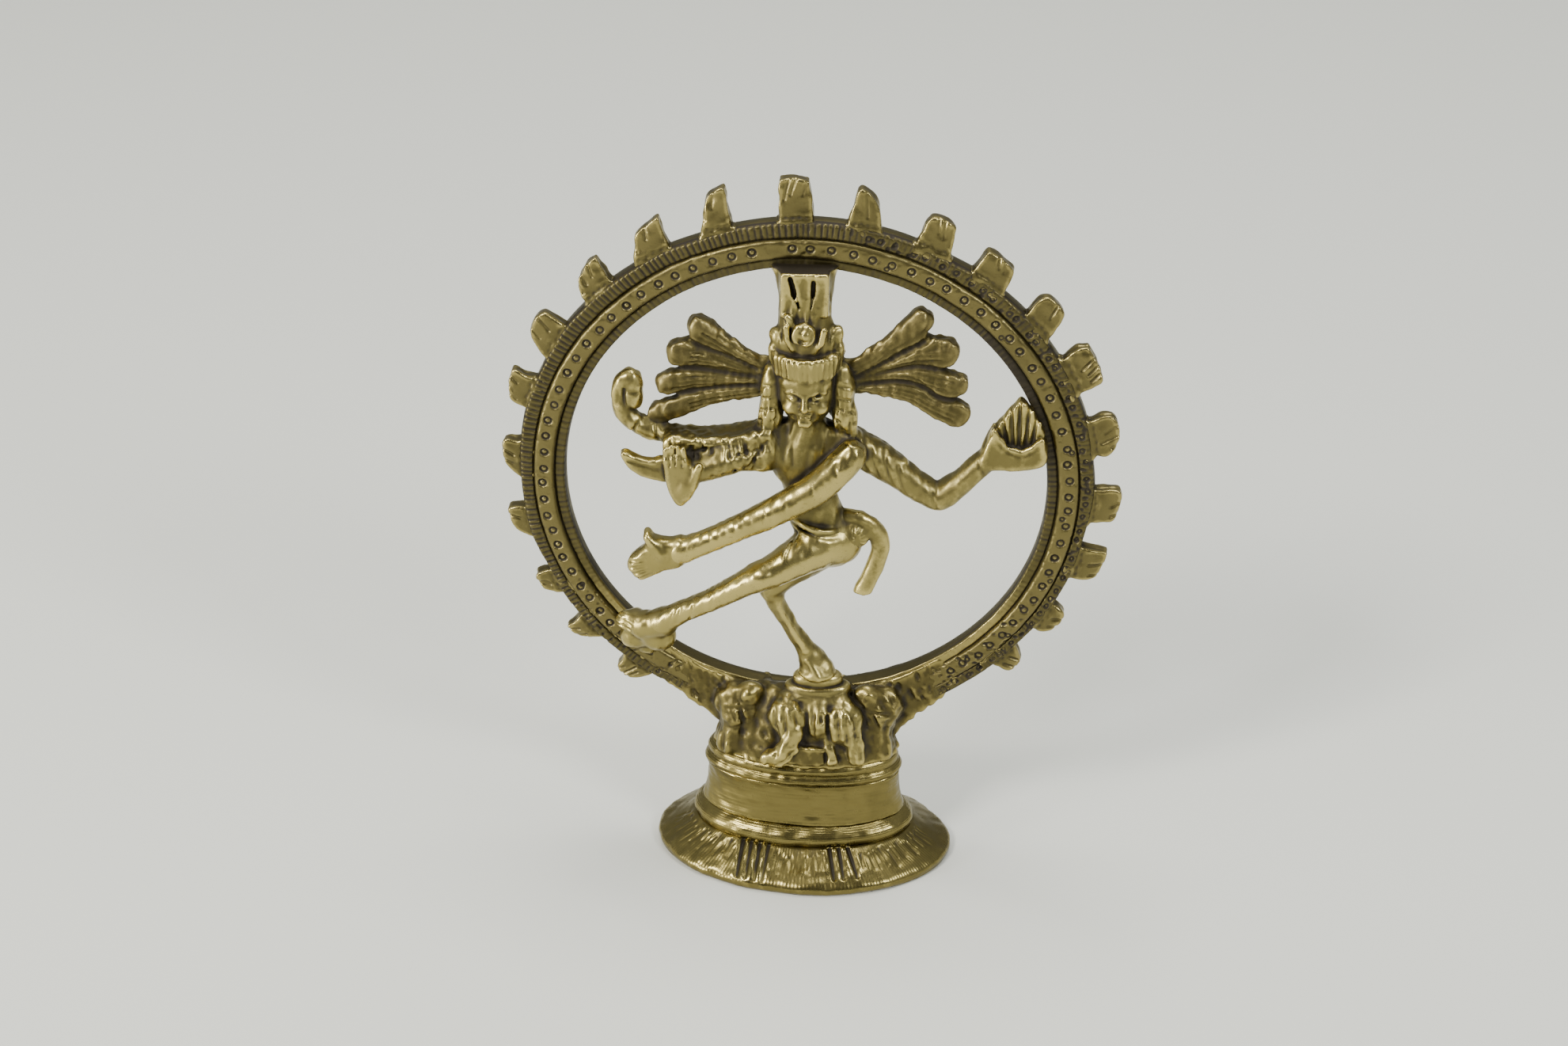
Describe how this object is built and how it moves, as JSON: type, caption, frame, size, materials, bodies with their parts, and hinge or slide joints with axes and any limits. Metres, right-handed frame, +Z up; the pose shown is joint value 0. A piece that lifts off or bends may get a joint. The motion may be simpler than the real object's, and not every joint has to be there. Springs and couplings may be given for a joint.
{
  "type": "nataraja statuette",
  "caption": "Small cast brass statuette of a four-armed dancer standing on one leg inside a flame-edged ring, on an oval flared pedestal with a flat foot.",
  "frame": {"origin": "centre of the overall bounding box in X and Y, at the plane the foot stands on", "axes": "+Z up, the dancer faces -Y, +X to the viewer's right when looking at the front"},
  "size_m": [0.0744, 0.025, 0.0921],
  "materials": {
    "brass_rubbed": "cast brass, rubbed bright, fine file marks",
    "brass_aged": "cast brass, aged olive-yellow, dull brown in the recesses",
    "brass_recess": "rough cast brass, mostly brown patina"
  },
  "bodies": {
    "root": {"mound": "brass_recess", "makara_left": "brass_recess", "makara_right": "brass_recess", "dwarf_body": "brass_recess", "pedestal_foot": "brass_rubbed", "pedestal_torus": "brass_rubbed", "pedestal_drum": "brass_rubbed", "pedestal_bead": "brass_rubbed", "leg_lifted": "brass_rubbed", "foot_lifted": "brass_rubbed", "arm_front_left": "brass_rubbed", "hand_pointing": "brass_rubbed", "dwarf_arm": "brass_aged", "plinth_lower": "brass_aged", "plinth_upper": "brass_aged", "ring_inner_strip": "brass_aged", "ring_middle_band": "brass_aged", "ring_outer_strip": "brass_aged", "flame_top": "brass_aged", "flame_right_01": "brass_aged", "flame_right_02": "brass_aged", "flame_right_03": "brass_aged", "flame_right_04": "brass_aged", "flame_right_05": "brass_aged", "flame_right_06": "brass_aged", "flame_right_07": "brass_aged", "flame_right_08": "brass_aged", "flame_right_09": "brass_aged", "flame_right_10": "brass_aged", "flame_left_01": "brass_aged", "flame_left_02": "brass_aged", "flame_left_03": "brass_aged", "flame_left_04": "brass_aged", "flame_left_05": "brass_aged", "flame_left_06": "brass_aged", "flame_left_07": "brass_aged", "flame_left_08": "brass_aged", "flame_left_09": "brass_aged", "flame_left_10": "brass_aged", "torso": "brass_aged", "leg_standing": "brass_aged", "foot_standing": "brass_aged", "hip_sash": "brass_aged", "head": "brass_aged", "headband": "brass_aged", "crown": "brass_aged", "crown_ornament": "brass_aged", "earring_left": "brass_aged", "earring_right": "brass_aged", "arm_front_right": "brass_aged", "arm_rear_right": "brass_aged", "hand_damaru": "brass_aged", "arm_rear_left": "brass_aged", "hand_abhaya": "brass_aged", "snake_tail": "brass_aged", "hand_fire": "brass_aged", "fire": "brass_aged", "hair_left": "brass_aged", "hair_right": "brass_aged"}
  },
  "joints": []
}
